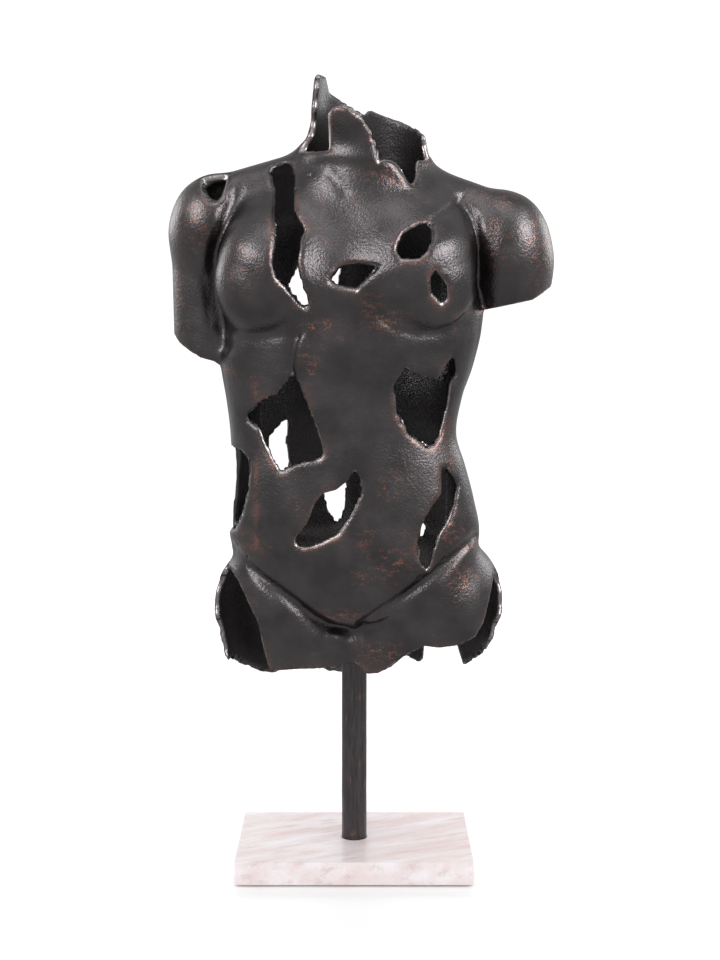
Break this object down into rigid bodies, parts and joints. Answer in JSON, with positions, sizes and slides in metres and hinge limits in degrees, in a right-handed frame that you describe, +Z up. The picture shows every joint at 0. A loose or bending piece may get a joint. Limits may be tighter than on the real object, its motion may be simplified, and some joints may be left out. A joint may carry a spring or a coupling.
{
  "type": "torso sculpture",
  "caption": "Standing hollow cast torso with torn openings, open neck and arm stumps, on a round rod and a rectangular marble slab.",
  "frame": {"origin": "on the floor, under the middle of the sculpture's width and depth", "axes": "+Z up along the rod, -Y out of the chest towards the viewer, +X to the viewer's right"},
  "size_m": [0.3242, 0.1724, 0.675],
  "materials": {
    "torso": "blackened cast skin with fine grain, copper-red rub on edges and high spots",
    "rod": "dark blackened satin",
    "slab": "polished pinkish white marble with fine veins",
    "pad": "matt translucent"
  },
  "bodies": {
    "root": {"torso": "torso", "rod": "rod", "slab": "slab", "pad_front_left": "pad", "pad_front_right": "pad", "pad_back_left": "pad", "pad_back_right": "pad"}
  },
  "joints": []
}
